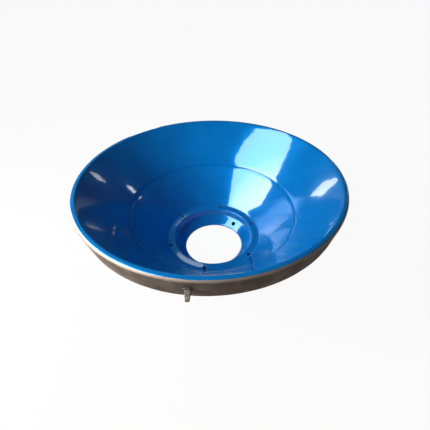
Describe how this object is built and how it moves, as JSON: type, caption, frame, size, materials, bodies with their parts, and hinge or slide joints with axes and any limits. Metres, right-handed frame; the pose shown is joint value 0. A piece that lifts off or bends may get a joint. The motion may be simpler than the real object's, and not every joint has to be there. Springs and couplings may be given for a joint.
{
  "type": "cone crusher mantle",
  "caption": "Hollow conical crusher mantle stored mouth up, with a painted seat, a stepped ledge with tapped holes, an open bore and a short bar lug on its rim.",
  "frame": {"origin": "centre of the bore, in the plane of the small end's face", "axes": "+Z along the mantle's axis, out of the mouth; the lug points towards -Y"},
  "size_m": [1.295, 1.3257, 0.518],
  "materials": {
    "mantle_enamel": "blue gloss enamel inside; as-cast manganese steel outside",
    "lug_steel": "bare hot-rolled steel bar, lightly rusted",
    "weld_metal": "dull weld bead"
  },
  "bodies": {
    "root": {"mantle_casting": "mantle_enamel", "rim_lug": "lug_steel", "lug_weld": "weld_metal"}
  },
  "joints": []
}
